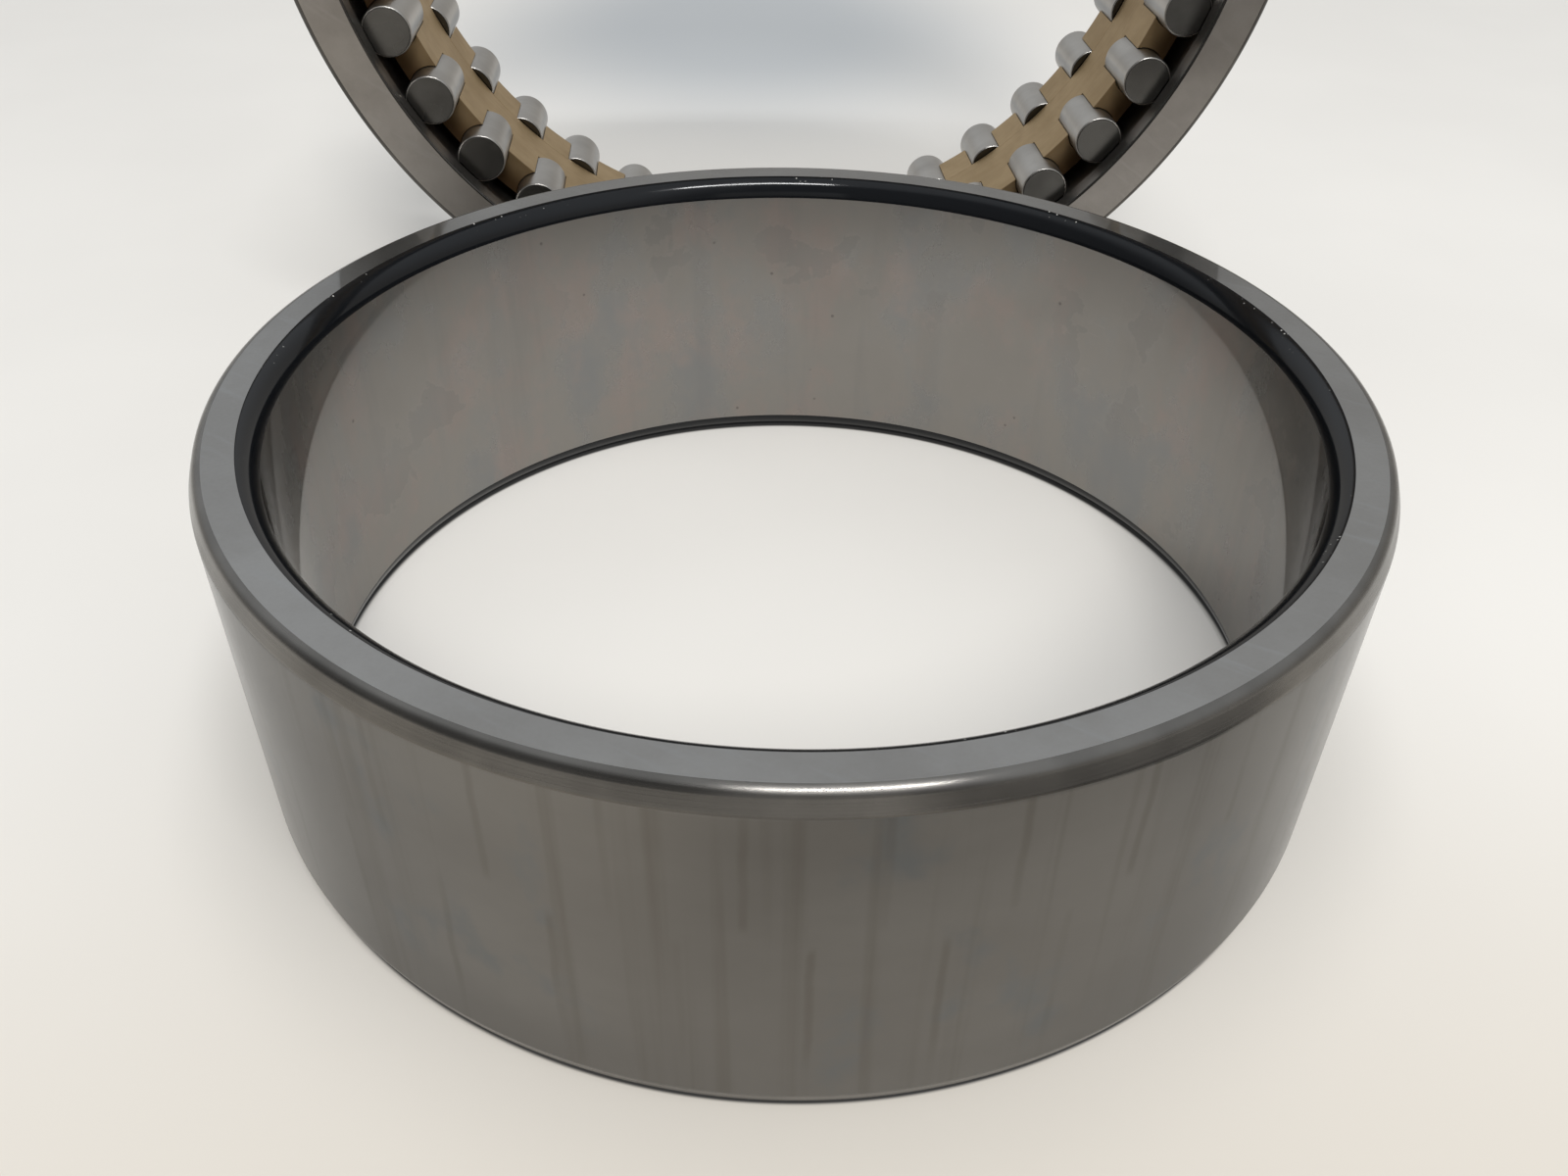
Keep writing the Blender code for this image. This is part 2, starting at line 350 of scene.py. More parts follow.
class Wiring:
    """A node tree with short ways to wire it."""

    def __init__(self, tree: bpy.types.NodeTree) -> None:
        """Take over the node tree of a material or of the world."""
        self.tree = tree

    def feed(self, socket: Socket, value: Value | Sequence[float]) -> None:
        """Link a socket to another, or set its value.

        Args:
            socket: The input that is fed.
            value: Another node's output, or a plain value.
        """
        if isinstance(value, Socket):
            self.tree.links.new(value, socket)
        else:
            socket.default_value = value

    def feed_all(self, node: bpy.types.Node, inputs: dict) -> None:
        """Feed a node's inputs by name or number."""
        for key, value in inputs.items():
            self.feed(node.inputs[key], value)

    def node(self, kind: str, inputs: dict | None = None, **settings: str) -> bpy.types.Node:
        """Add a node, set its properties and feed its inputs.

        Args:
            kind: The name of the node's type.
            inputs: What each input takes, by its name or number.
            settings: The node's own properties.

        Returns:
            The new node.
        """
        made = self.tree.nodes.new(kind)
        for key, value in settings.items():
            setattr(made, key, value)
        self.feed_all(made, inputs or {})
        return made

    def math(self, operation: str, first: Value, second: Value = 0.0) -> Socket:
        """Return the result of a Math node."""
        return self.node("ShaderNodeMath", {0: first, 1: second}, operation=operation).outputs[0]

    def plus(self, first: Value, second: Value) -> Socket:
        """Return the sum of two values."""
        return self.math("ADD", first, second)

    def minus(self, first: Value, second: Value) -> Socket:
        """Return the first value less the second."""
        return self.math("SUBTRACT", first, second)

    def unsigned(self, value: Value) -> Socket:
        """Return a value without its sign."""
        return self.math("ABSOLUTE", value)

    def times(self, first: Value, *others: Value) -> Socket:
        """Multiply two or more values.

        Args:
            first: The first value.
            others: The values that it is multiplied by.

        Returns:
            The product.
        """
        for other in others:
            first = self.math("MULTIPLY", first, other)
        return first

    def remap(
        self, value: Socket, low: float, high: float, out_low: float = 0.0, out_high: float = 1.0
    ) -> Socket:
        """Return a value mapped smoothly from one range to another and held there."""
        inputs = dict(enumerate((value, low, high, out_low, out_high)))
        return self.node("ShaderNodeMapRange", inputs, interpolation_type="SMOOTHSTEP").outputs[0]

    def band(self, value: Socket, start: float, full: float, last: float, end: float) -> Socket:
        """Return 1 from full to last, falling smoothly to 0 at start and end."""
        return self.times(self.remap(value, start, full), self.remap(value, end, last))

    def coordinates(self) -> Socket:
        """Return Object coordinates."""
        return self.node("ShaderNodeTexCoord").outputs["Object"]

    def ray(self, kind: str) -> Socket:
        """Return 1 for the rays of one kind and 0 for the others."""
        return self.node("ShaderNodeLightPath").outputs[f"Is {kind} Ray"]

    def split(self, vector: Socket) -> tuple[Socket, ...]:
        """Return the three parts of a vector."""
        return tuple(self.node("ShaderNodeSeparateXYZ", {0: vector}).outputs)

    def distance(self, vector: Socket, middle: Place) -> Socket:
        """Return how far a place is from a middle."""
        made = self.node("ShaderNodeVectorMath", {0: vector, 1: middle}, operation="DISTANCE")
        return made.outputs["Value"]

    def place_in(self, axis: Axis) -> Socket:
        """Move Object coordinates into an axis's turning space.

        Args:
            axis: The axis of the piece that a pattern lies on.

        Returns:
            Each point's place about that axis.
        """
        back = axis.matrix().inverted()
        return self.node("ShaderNodeMapping", {
            "Vector": self.coordinates(),
            "Location": back.to_translation(),
            "Rotation": back.to_euler(),
        }, vector_type="POINT").outputs[0]

    def polar(self, place_in_axis: Socket) -> tuple[Socket, ...]:
        """Split a place into its angle, radius and height about Z.

        Args:
            place_in_axis: A place in the turning space.

        Returns:
            The angle in radians, and the radius and height in metres.
        """
        x, y, z = self.split(place_in_axis)
        squares = self.plus(self.times(x, x), self.times(y, y))
        return self.math("ARCTAN2", y, x), self.math("SQRT", squares), z

    def stretch(self, vector: Socket, scale: Scale, turned: float = 0.0) -> Socket:
        """Turn a place about Z and then scale it along each axis.

        Args:
            vector: The place.
            scale: The factor along each axis.
            turned: The turn in degrees.

        Returns:
            The new place.
        """
        turning = {"Vector": vector, "Rotation": (0.0, 0.0, math.radians(turned))}
        turning = self.node("ShaderNodeMapping", turning, vector_type="POINT")
        scaling = {"Vector": turning.outputs[0], "Scale": scale}
        return self.node("ShaderNodeMapping", scaling, vector_type="POINT").outputs[0]

    def noise(self, vector: Socket, scale: float, detail: float = 3.0, roughness: float = 0.5) -> Socket:
        """Return the value of a noise texture."""
        inputs = {"Vector": vector, "Scale": scale, "Detail": detail, "Roughness": roughness}
        return self.node("ShaderNodeTexNoise", inputs).outputs["Fac"]

    def streaks(
        self, vector: Socket, scale: Scale, detail: float = 3.0, roughness: float = 0.5, turned: float = 0.0
    ) -> Socket:
        """Return the value of a noise texture that is turned about Z and scaled along each axis."""
        return self.noise(self.stretch(vector, scale, turned), 1.0, detail, roughness)

    def specks(self, vector: Socket, scale: float, size: float) -> Socket:
        """Scatter small round dots.

        Args:
            vector: The place.
            scale: About how many dots lie along a metre.
            size: The radius of a dot, as a share of the distance between dots.

        Returns:
            1 in the dots and 0 between them.
        """
        inputs = {"Vector": vector, "Scale": scale, "Randomness": 1.0}
        made = self.node("ShaderNodeTexVoronoi", inputs, feature="F1")
        return self.remap(made.outputs["Distance"], size * 0.5, size, 1.0, 0.0)

    def blend(self, factor: Value, first: Tint, second: Tint) -> Socket:
        """Mix two colours.

        Args:
            factor: The second colour's share.
            first: The colour at 0.
            second: The colour at 1.

        Returns:
            The mixed colour.
        """
        made = self.node("ShaderNodeMix", {"Factor": factor}, data_type="RGBA")
        slots = [slot for slot in made.inputs if slot.type == "RGBA"]
        for slot, colour in zip(slots, (first, second)):
            self.feed(slot, colour if isinstance(colour, Socket) else (*colour, 1.0))
        return next(slot for slot in made.outputs if slot.type == "RGBA")

    def cover(
        self, colour: Tint, over: Colour, value: Socket, low: float, high: float, most: float = 1.0
    ) -> Socket:
        """Return a colour covered by another as a value passes from low to high, by most at the end."""
        return self.blend(self.remap(value, low, high, 0.0, most), colour, over)

    def seen(self) -> Socket:
        """Return 1 for what the camera, a gloss or clear matter shows, and 0 for plain light."""
        gloss = self.math("MAXIMUM", self.ray("Glossy"), self.ray("Transmission"))
        return self.math("MAXIMUM", self.ray("Camera"), gloss)

    def mix(self, factor: Value, first: Socket, second: Socket) -> Socket:
        """Return a mix of two shaders."""
        return self.node("ShaderNodeMixShader", {0: factor, 1: first, 2: second}).outputs[0]


class Sheet(Wiring):
    """A material with its Principled shader."""

    def __init__(self, name: str) -> None:
        """Start the material.

        Args:
            name: Its name.
        """
        self.material = bpy.data.materials.new(name)
        self.material.use_nodes = True
        super().__init__(self.material.node_tree)
        self.shader = self.tree.nodes["Principled BSDF"]

    def oil(self, weight: float, roughness: float, grazing: float) -> None:
        """Lay a thin film of oil over steel.

        Args:
            weight: How much of the surface the film covers.
            roughness: How blurred the film's reflections are.
            grazing: How bright the steel below is along its outline.
        """
        self.feed_all(self.shader, {
            "Coat Weight": weight,
            "Coat Roughness": roughness,
            "Coat IOR": OIL_IOR,
            "Specular Tint": (grazing, grazing, grazing, 1.0),
        })

    def turned(self, axis: Axis, amount: float) -> None:
        """Stretch the reflections across fine lines that run round an axis.

        Args:
            axis: The axis that the lines run round.
            amount: How strong the stretch is, from 0 to 1.
        """
        round_axis = self.node("ShaderNodeTangent", direction_type="RADIAL", axis=axis.letter())
        self.feed_all(self.shader, {
            "Anisotropic": amount,
            "Anisotropic Rotation": ACROSS_LINES,
            "Tangent": round_axis.outputs[0],
        })

    def bump(self, height: Socket, distance: float) -> None:
        """Feed a height into the shader's normal."""
        made = self.node("ShaderNodeBump", {"Distance": distance, "Strength": 1.0, "Height": height})
        self.feed(self.shader.inputs["Normal"], made.outputs[0])

    def surface(self, colour: Socket, roughness: Value, metallic: float) -> Material:
        """Wire the shader and return the finished material."""
        self.feed_all(self.shader, {"Base Color": colour, "Roughness": roughness, "Metallic": metallic})
        return self.material


@dataclass(frozen=True)
class Finish:
    """A finish whose patterns lie in the turning space of a piece."""

    name: str
    axis: Axis

    def build(self) -> Material:
        """Return the material."""
        sheet = Sheet(self.name)
        return self.wire(sheet, sheet.place_in(self.axis))

    def wire(self, sheet: Sheet, place: Socket) -> Material:
        """Wire the finish.

        Args:
            sheet: The new material.
            place: Each point's place in the turning space.

        Returns:
            The finished material.
        """
        raise NotImplementedError


@dataclass(frozen=True)
class GroundFace(Finish):
    """The side face of a ring: fine ground grain under slanting wipe marks."""

    light: Colour = (0.326, 0.318, 0.305)
    dark: Colour = (0.270, 0.260, 0.245)
    wiped: Colour = (0.330, 0.330, 0.325)
    roughness: Range = (0.29, 0.39)
    wipe_slant: float = 35.0
    grain_depth: float = 0.5e-6

    def wire(self, sheet: Sheet, place: Socket) -> Material:
        """Wire the ground grain and the wipe marks over it.

        Args:
            sheet: The new material.
            place: Each point's place in the turning space.

        Returns:
            The finished material.
        """
        cloud = sheet.noise(place, scale=70.0, detail=5.0, roughness=0.6)
        wipe = sheet.streaks(place, (55.0, 520.0, 55.0), detail=3.0, roughness=0.6, turned=self.wipe_slant)
        grain = sheet.noise(place, scale=2600.0, detail=2.0)
        colour = sheet.cover(self.dark, self.light, cloud, low=0.3, high=0.7)
        colour = sheet.cover(colour, self.wiped, wipe, low=0.54, high=0.74, most=0.55)
        rough = sheet.remap(grain, 0.25, 0.75, *self.roughness)
        sheet.bump(grain, self.grain_depth)
        sheet.oil(weight=1.0, roughness=0.06, grazing=0.35)
        return sheet.surface(colour, rough, 1.0)


@dataclass(frozen=True)
class RacewayFinish(Finish):
    """A satin raceway: faint lines round it, and two staggered rows of marks where rollers lay."""

    marks: int = 0
    first: float = 0.0
    radius: float = 61.5 * MM
    split: float = 4.0 * MM
    reach: float = 16.5 * MM
    fade: float = 3.0 * MM
    mark_core: float = 0.10 * MM
    mark_half: float = 0.60 * MM
    mark_start: Range = (0.3 * MM, 2.0 * MM)
    mark_tail: float = 0.25
    wander: float = 0.10
    light: Colour = (0.224, 0.218, 0.207)
    dark: Colour = (0.180, 0.174, 0.165)
    mark: Colour = (0.105, 0.092, 0.072)
    blue: Colour = (0.156, 0.172, 0.184)
    roughness: Range = (0.32, 0.40)
    line_depth: float = 0.35e-6
    stretch: float = 0.6

    def row(self, sheet: Sheet, place: Socket, turned: Socket, height: Socket, side: Side) -> Socket:
        """Draw the marks of one row of rollers.

        Args:
            sheet: The material.
            place: Each point's place in the turning space.
            turned: The angle from the first mark, counted in marks.
            height: The height along the axis.
            side: Which row it is.

        Returns:
            1 on the marks and 0 beside them.
        """
        offset = 0.5 if side is Side.FRONT else 0.0
        wander = sheet.times(sheet.noise(place, scale=90.0, detail=4.0), self.wander)
        turns = sheet.plus(sheet.plus(turned, offset), wander)
        cell = sheet.minus(sheet.math("FRACT", turns), 0.5)
        away = sheet.times(sheet.unsigned(cell), 2 * math.pi * self.radius / self.marks)
        line = sheet.remap(away, self.mark_core, self.mark_half, 1.0, 0.0)
        rise = sheet.times(sheet.minus(height, self.split), float(side.value))
        near = sheet.remap(rise, *self.mark_start)
        far = sheet.remap(rise, self.reach - self.fade, self.reach + self.fade, 1.0, self.mark_tail)
        return sheet.times(line, near, far)

    def wire(self, sheet: Sheet, place: Socket) -> Material:
        """Wire the fine lines, the haze and, where there are any, the roller marks.

        Args:
            sheet: The new material.
            place: Each point's place in the turning space.

        Returns:
            The finished material.
        """
        angle, _, height = sheet.polar(place)
        grind = sheet.streaks(place, (14.0, 14.0, 5200.0), detail=2.0)
        cloud = sheet.streaks(place, (26.0, 26.0, 44.0), detail=5.0, roughness=0.55)
        wipe = sheet.streaks(place, (330.0, 330.0, 9.0), detail=3.0, roughness=0.55)
        haze = sheet.streaks(place, (75.0, 75.0, 60.0), detail=4.0, roughness=0.6)
        colour = sheet.cover(self.dark, self.light, cloud, low=0.32, high=0.68)
        colour = sheet.cover(colour, self.blue, haze, low=0.54, high=0.68, most=0.70)
        colour = sheet.cover(colour, self.mark, wipe, low=0.50, high=0.74, most=0.36)
        if self.marks:
            turned = sheet.times(sheet.minus(angle, self.first), self.marks / (2 * math.pi))
            patches = sheet.streaks(place, (95.0, 95.0, 38.0), detail=3.0)
            strength = sheet.remap(patches, low=0.34, high=0.66, out_low=0.04, out_high=0.34)
            for side in Side:
                line = self.row(sheet, place, turned, height, side)
                colour = sheet.blend(sheet.times(line, strength), colour, self.mark)
        rough = sheet.remap(cloud, 0.3, 0.7, *self.roughness)
        sheet.bump(grind, self.line_depth)
        sheet.turned(self.axis, self.stretch)
        sheet.oil(weight=0.7, roughness=0.10, grazing=0.25)
        return sheet.surface(colour, rough, 1.0)


@dataclass(frozen=True)
class BoreFinish(Finish):
    """The handled bore: blue and pink haze, sharp-edged stains, wipes, scratches and pits."""

    base: Colour = (0.255, 0.241, 0.222)
    blue: Colour = (0.200, 0.209, 0.213)
    pink: Colour = (0.288, 0.240, 0.218)
    stain: Colour = (0.178, 0.172, 0.168)
    rim: Colour = (0.320, 0.305, 0.280)
    pit: Colour = (0.060, 0.052, 0.045)
    roughness: Range = (0.35, 0.25)
    grain_depth: float = 0.9e-6
    pattern_turn: float = 70.0
    scratch_slant: float = 52.0
    rim_weight: float = 0.10
    stain_weight: float = 0.30
    scratch_weight: float = 0.24

    def wire(self, sheet: Sheet, place: Socket) -> Material:
        """Wire the haze, the stains with their pale rims, the scratches and the pits.

        Args:
            sheet: The new material.
            place: Each point's place in the turning space.

        Returns:
            The finished material.
        """
        other = sheet.stretch(place, (1.0, 1.0, 1.0), self.pattern_turn)
        haze = sheet.streaks(place, (70.0, 70.0, 48.0), detail=7.0, roughness=0.60)
        warm = sheet.streaks(other, (85.0, 85.0, 60.0), detail=8.0, roughness=0.66)
        wipe = sheet.streaks(place, (150.0, 150.0, 16.0), detail=4.0, roughness=0.6)
        edge = sheet.noise(other, scale=75.0, detail=6.0, roughness=0.58)
        region = sheet.remap(sheet.noise(place, scale=24.0, detail=1.0), low=0.50, high=0.60)
        colour = sheet.cover(self.base, self.blue, haze, low=0.44, high=0.68, most=0.75)
        colour = sheet.cover(colour, self.pink, warm, low=0.47, high=0.66, most=0.70)
        colour = sheet.cover(colour, self.stain, wipe, low=0.50, high=0.74, most=0.28)
        rim = sheet.times(sheet.remap(edge, low=0.530, high=0.548), region, self.rim_weight)
        colour = sheet.blend(rim, colour, self.rim)
        stain = sheet.times(sheet.remap(edge, low=0.550, high=0.562), region, self.stain_weight)
        colour = sheet.blend(stain, colour, self.stain)
        slanting = sheet.stretch(place, (70.0, 1500.0, 900.0), self.scratch_slant)
        scratch = sheet.times(sheet.specks(slanting, scale=1.0, size=0.10), self.scratch_weight)
        colour = sheet.blend(scratch, colour, self.rim)
        dots = sheet.specks(place, scale=260.0, size=0.075)
        pits = sheet.times(dots, sheet.remap(warm, low=0.50, high=0.56, out_low=0.0, out_high=0.55))
        colour = sheet.blend(pits, colour, self.pit)
        rough = sheet.remap(haze, 0.35, 0.65, *self.roughness)
        sheet.bump(sheet.noise(place, scale=1500.0, detail=3.0), self.grain_depth)
        sheet.oil(weight=1.0, roughness=0.045, grazing=0.15)
        return sheet.surface(colour, rough, 1.0)


@dataclass(frozen=True)
class BlackCorner(Finish):
    """A glossy black corner left unground, with bare nicks along its outer edge."""

    edge: float
    black: Colour = (0.0056, 0.0064, 0.0078)
    bare: Colour = (0.60, 0.59, 0.56)
    roughness: Range = (0.06, 0.14)
    ior: float = 1.36
    nick_zone: Range = (0.15 * MM, 1.1 * MM)
    ripple_depth: float = 2.0e-6

    def wire(self, sheet: Sheet, place: Socket) -> Material:
        """Wire the rippled black gloss and the nicks.

        Args:
            sheet: The new material.
            place: Each point's place in the turning space.

        Returns:
            The finished material.
        """
        _, radius, _ = sheet.polar(place)
        away = sheet.unsigned(sheet.minus(radius, self.edge))
        beside = sheet.remap(away, *self.nick_zone, 1.0, 0.0)
        patches = sheet.remap(sheet.noise(place, scale=55.0, detail=2.0), low=0.50, high=0.60)
        nicks = sheet.times(sheet.specks(place, scale=1300.0, size=0.17), beside, patches)
        ripple = sheet.streaks(place, (120.0, 120.0, 900.0), detail=4.0)
        colour = sheet.blend(nicks, self.black, self.bare)
        rough = sheet.remap(ripple, 0.3, 0.7, *self.roughness)
        sheet.bump(ripple, self.ripple_depth)
        sheet.feed_all(sheet.shader, {"IOR": self.ior})
        return sheet.surface(colour, rough, 0.0)


@dataclass(frozen=True)
class PlainSteel(Finish):
    """Turned or lapped steel with faint lines across one axis."""

    light: Colour
    dark: Colour
    roughness: Range
    stretch: float = 0.0
    lines: float = 6000.0
    line_depth: float = 0.4e-6

    def wire(self, sheet: Sheet, place: Socket) -> Material:
        """Wire the faint lines and the soft clouds under them.

        Args:
            sheet: The new material.
            place: Each point's place in the turning space.

        Returns:
            The finished material.
        """
        line = sheet.streaks(place, (60.0, 60.0, self.lines), detail=3.0)
        cloud = sheet.noise(place, scale=160.0, detail=4.0)
        colour = sheet.cover(self.dark, self.light, cloud, low=0.3, high=0.7)
        rough = sheet.remap(line, 0.2, 0.8, *self.roughness)
        sheet.bump(line, self.line_depth)
        if self.stretch:
            sheet.turned(self.axis, self.stretch)
        return sheet.surface(colour, rough, 1.0)


@dataclass(frozen=True)
class MachinedBrass(Finish):
    """Matt machined brass that darkens to brown on the prongs' ends: partly tarnish, partly painted shade."""

    tip: float
    light: Colour = (0.480, 0.356, 0.203)
    dark: Colour = (0.396, 0.286, 0.154)
    brown: Colour = (0.120, 0.068, 0.030)
    roughness: Range = (0.44, 0.58)
    metallic: float = 0.85
    line_depth: float = 0.8e-6
    brown_start: float = 0.25 * MM
    brown_full: float = 0.05 * MM
    brown_radii: Range = (63.5 * MM, 66.8 * MM)

    def wire(self, sheet: Sheet, place: Socket) -> Material:
        """Wire the tool lines and the brown on the tips: tarnish with painted shade, deeper towards the
        outside.

        Args:
            sheet: The new material.
            place: Each point's place in the turning space.

        Returns:
            The finished material.
        """
        _, radius, height = sheet.polar(place)
        lines = sheet.streaks(place, (30.0, 30.0, 5000.0), detail=3.0)
        cloud = sheet.noise(place, scale=180.0, detail=5.0, roughness=0.6)
        high = sheet.unsigned(height)
        # Brown at the tips: partly tarnish and partly painted shade.
        tarnish_and_shade = sheet.remap(high, self.tip - self.brown_start, self.tip - self.brown_full, 0.25, 0.85)
        # The brown deepens towards the outer radius, as painted shade.
        tarnish_and_shade = sheet.times(tarnish_and_shade, sheet.remap(radius, *self.brown_radii, 0.6, 1.15))
        colour = sheet.cover(self.dark, self.light, cloud, low=0.3, high=0.7)
        colour = sheet.blend(tarnish_and_shade, colour, self.brown)
        rough = sheet.remap(lines, 0.2, 0.8, *self.roughness)
        sheet.bump(lines, self.line_depth)
        return sheet.surface(colour, rough, self.metallic)


@dataclass
class InnerRing:
    """The plain inner ring, laid flat."""

    axis: Axis
    radius: float
    half_width: float
    marks: int
    first: float
    wall: float = 6.5 * MM
    bevel_across: float = 0.8 * MM
    bevel_along: float = 2.2 * MM
    corner_across: float = 1.85 * MM
    corner_along: float = 2.45 * MM
    bulge_across: float = 0.16 * MM
    bulge_down: float = 0.615 * MM
    corner_round: float = 1.75 * MM
    edge_round: float = 0.75 * MM
    foot_round: float = 0.3 * MM
    corner_steps: int = 14
    edge_steps: int = 10
    foot_steps: int = 4
    facets: int = 360
    smooth_angle: float = 9.0

    def outline(self, bore: float) -> Outline:
        """Draw the ring's section, from its bore to its raceway.

        Args:
            bore: The radius of the bore.

        Returns:
            The closed section with its corners rounded.
        """
        top = self.half_width
        foot = (self.radius, top - self.bevel_along)
        edge = (self.radius - self.bevel_across, top)
        bulge = (bore + self.bulge_across, top - self.bulge_down)
        half = [foot, edge, (bore + self.corner_across, top), bulge, (bore, top - self.corner_along)]
        outline = Outline("inner_ring_body", section(mirrored(half)))
        outline.round_corners([
            (bulge, self.corner_round, self.corner_steps),
            (edge, self.edge_round, self.edge_steps),
            (foot, self.foot_round, self.foot_steps),
        ])
        return outline

    def build(self) -> Piece:
        """Turn, dress and lay down the ring.

        Returns:
            The finished ring.
        """
        bore = self.radius - self.wall
        ring = self.outline(bore).turn(self.facets)
        self.dress(ring, bore)
        place(ring, self.axis.matrix())
        smooth(ring, self.smooth_angle)
        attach(ring, "inner_ring")
        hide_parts("inner_ring")
        return ring

    def dress(self, ring: Piece, bore: float) -> None:
        """Lay the finishes on the ring's zones.

        Args:
            ring: The turned ring.
            bore: The radius of the bore.
        """
        edge = bore + self.corner_across
        foot = self.half_width - self.bevel_along
        # The lead-in bevel is painted darker than the raceway, as painted shade.
        bevel = PlainSteel(
            "lead_bevel_finish", self.axis,
            light=(0.194, 0.185, 0.172), dark=(0.153, 0.146, 0.136), roughness=(0.19, 0.30), stretch=0.85,
        )
        handled = BoreFinish("inner_bore_finish", self.axis)
        corner = BlackCorner("bore_corner_finish", self.axis, edge)
        dress(ring, [
            (RacewayFinish("inner_raceway_finish", self.axis, self.marks, self.first), None),
            (bevel, lambda centre, normal: centre.xy.length > edge and foot < abs(centre.z)),
            (GroundFace("inner_ring_face_finish", self.axis), lambda centre, normal: abs(normal.z) > FLAT),
            (handled, lambda centre, normal: centre.xy.length < bore + SLACK),
            (corner, lambda centre, normal: bore + SLACK < centre.xy.length < edge and abs(normal.z) < FLAT),
        ])


@dataclass
class OuterRing:
    """The outer ring: three flanges, two raceways, an oil groove and its holes."""

    axis: Axis
    radius: float
    half_width: float
    raceway: float = 69.05 * MM
    flange_bore: float = 68.2 * MM
    middle_flange: float = 4.1 * MM
    track: float = 12.6 * MM
    rim_corner: float = 0.8 * MM
    bore_edge: float = 0.35 * MM
    rim_steps: int = 8
    bore_edge_steps: int = 6
    groove_edge_steps: int = 5
    groove_floor_steps: int = 8
    groove_width: float = 6.0 * MM
    groove_depth: float = 1.2 * MM
    hole: float = 3.0 * MM
    holes: int = 3
    hole_sides: int = 32
    # The flanges' painted light covers faces within this share of the raceway's radius, where less than
    # this share of a face's normal lies along the axis.
    inside_share: float = 1.002
    steep_share: float = 0.9
    facets: int = 320
    smooth_angle: float = 14.0

    def build(self) -> Piece:
        """Turn, drill, dress and stand up the ring.

        Returns:
            The finished ring.
        """
        top = self.half_width
        floor = self.radius - self.groove_depth
        high = self.middle_flange + self.track
        groove_floor = (floor, self.groove_width / 2 - self.groove_depth)
        groove_edge = (self.radius, self.groove_width / 2)
        rim = (self.radius, top)
        bore_edge = (self.flange_bore, top)
        half = [
            groove_floor, groove_edge, rim, bore_edge,
            (self.flange_bore, high), (self.raceway, high),
            (self.raceway, self.middle_flange), (self.flange_bore, self.middle_flange),
        ]
        outline = Outline("outer_ring_body", section(mirrored(half)))
        outline.round_corners([
            (rim, self.rim_corner, self.rim_steps),
            (bore_edge, self.bore_edge, self.bore_edge_steps),
            (groove_edge, self.bore_edge, self.groove_edge_steps),
            (groove_floor, self.groove_depth, self.groove_floor_steps),
        ])
        ring = outline.turn(self.facets)
        self.drill(ring, floor)
        self.dress(ring)
        place(ring, self.axis.matrix())
        smooth(ring, self.smooth_angle)
        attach(ring, "outer_ring")
        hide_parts("outer_ring")
        return ring

    def drill(self, ring: Piece, floor: float) -> None:
        """Cut the oil holes through the middle flange, evenly round the groove's floor.

        Args:
            ring: The turned ring.
            floor: The radius of the groove's floor.
        """
        for index in range(self.holes):
            angle = math.pi / 2 + index * 2 * math.pi / self.holes
            deselect_all()
            bpy.ops.mesh.primitive_cylinder_add(
                vertices=self.hole_sides,
                radius=self.hole / 2,
                depth=2 * (self.radius - self.flange_bore),
                location=around((self.flange_bore + floor) / 2, angle),
                rotation=(0.0, math.pi / 2, angle),
            )
            apply_boolean(ring, bpy.context.object, "DIFFERENCE")

    def dress(self, ring: Piece) -> None:
        """Lay the finishes on the ring's zones.

        Args:
            ring: The turned ring.
        """
        top = self.half_width

        def on_corner(centre: Vector, normal: Vector) -> bool:
            """Say whether a face lies on a rounded edge of a side face.

            Args:
                centre: The middle of the face.
                normal: Its normal.

            Returns:
                Whether it is part of the rim's corner or the bore's edge.
            """
            if abs(centre.z) <= top - self.rim_corner or abs(normal.z) >= FLAT:
                return False
            return centre.xy.length > self.radius - self.rim_corner or abs(centre.z) > top - self.bore_edge

        # The flanges are painted lighter than the ring's other steel, as painted light.
        flange = PlainSteel(
            "outer_flange_finish", self.axis,
            light=(0.400, 0.380, 0.360), dark=(0.310, 0.295, 0.278), roughness=(0.33, 0.44),
        )
        face = GroundFace(
            "outer_ring_face_finish", self.axis,
            light=(0.298, 0.277, 0.255), dark=(0.226, 0.207, 0.189), wiped=(0.300, 0.284, 0.266),
        )
        corner = PlainSteel(
            "outer_corner_finish", self.axis,
            light=(0.110, 0.104, 0.096), dark=(0.070, 0.066, 0.062), roughness=(0.17, 0.28),
        )
        inside = self.raceway * self.inside_share
        dress(ring, [
            (RacewayFinish("outer_rim_finish", self.axis), None),
            (face, lambda centre, normal: abs(centre.z) > top - SLACK),
            (flange, lambda centre, normal: centre.xy.length < inside and abs(normal.z) < self.steep_share),
            (corner, on_corner),
        ])


